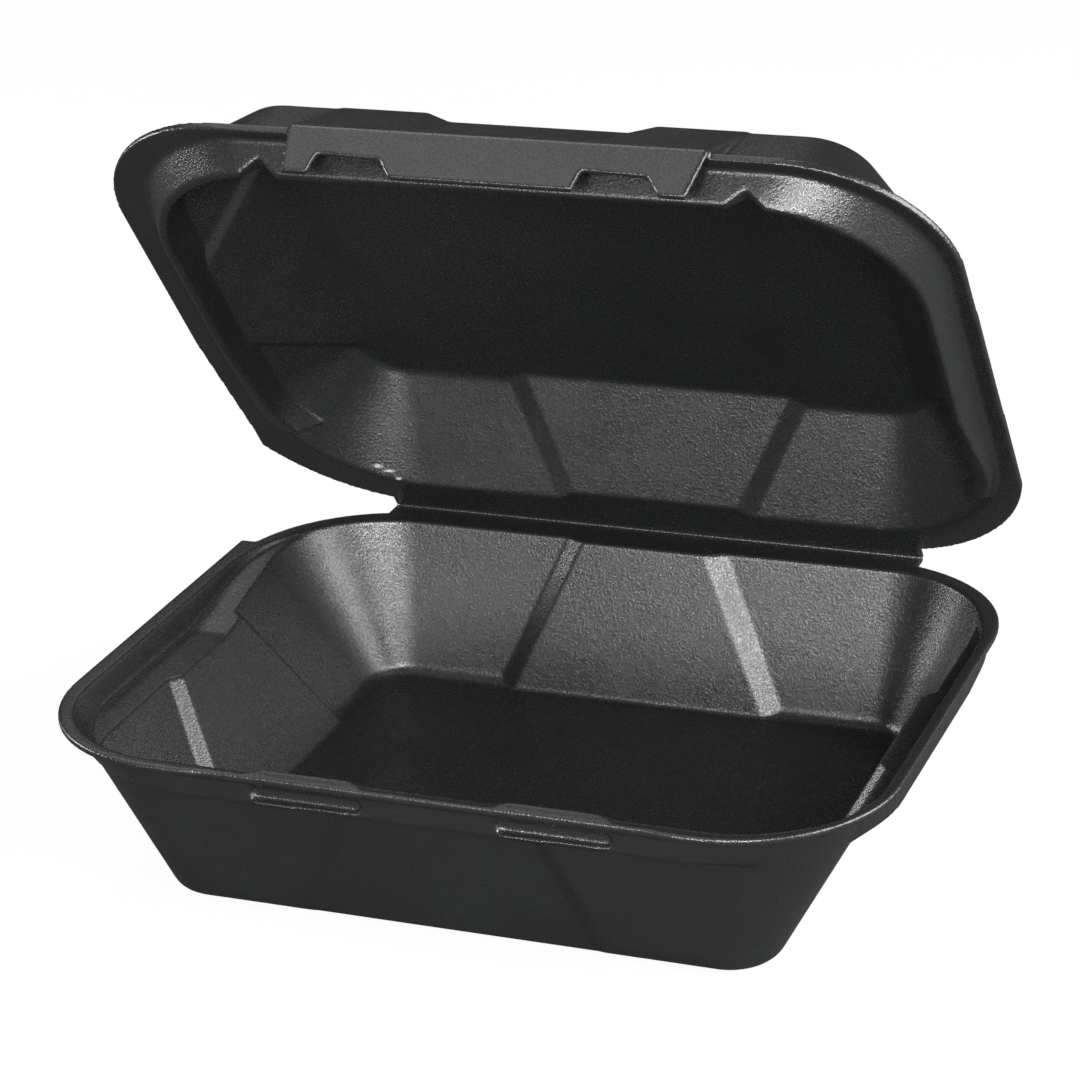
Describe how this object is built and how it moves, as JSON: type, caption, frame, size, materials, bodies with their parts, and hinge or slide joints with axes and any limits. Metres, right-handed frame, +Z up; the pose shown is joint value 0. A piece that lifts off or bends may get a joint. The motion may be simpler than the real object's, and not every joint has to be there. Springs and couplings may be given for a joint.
{
  "type": "foam clamshell container",
  "caption": "Black foam clamshell takeaway container, standing part open: a panelled tray with locking lugs, and a domed lid with a notched front skirt, on a pressed hinge strip.",
  "frame": {"origin": "middle of the pressed body on the flat underside of the tray; the trimmed flange reaches further to the left than to the right", "axes": "+Z up, front lock toward -Y, hinge toward +Y, X along the hinge"},
  "size_m": [0.2471, 0.1928, 0.2053],
  "materials": {
    "foam_sheet": "satin"
  },
  "bodies": {
    "tray_body": {"tray": "foam_sheet"},
    "lid_body": {"lid": "foam_sheet"}
  },
  "joints": [
    {"name": "lid_hinge", "type": "hinge", "parent": "tray_body", "child": "lid_body", "pos_m": [0, 0.0974, 0.04935], "axis": [-1, 0, 0], "range_deg": [-53.4, 126.6]}
  ]
}
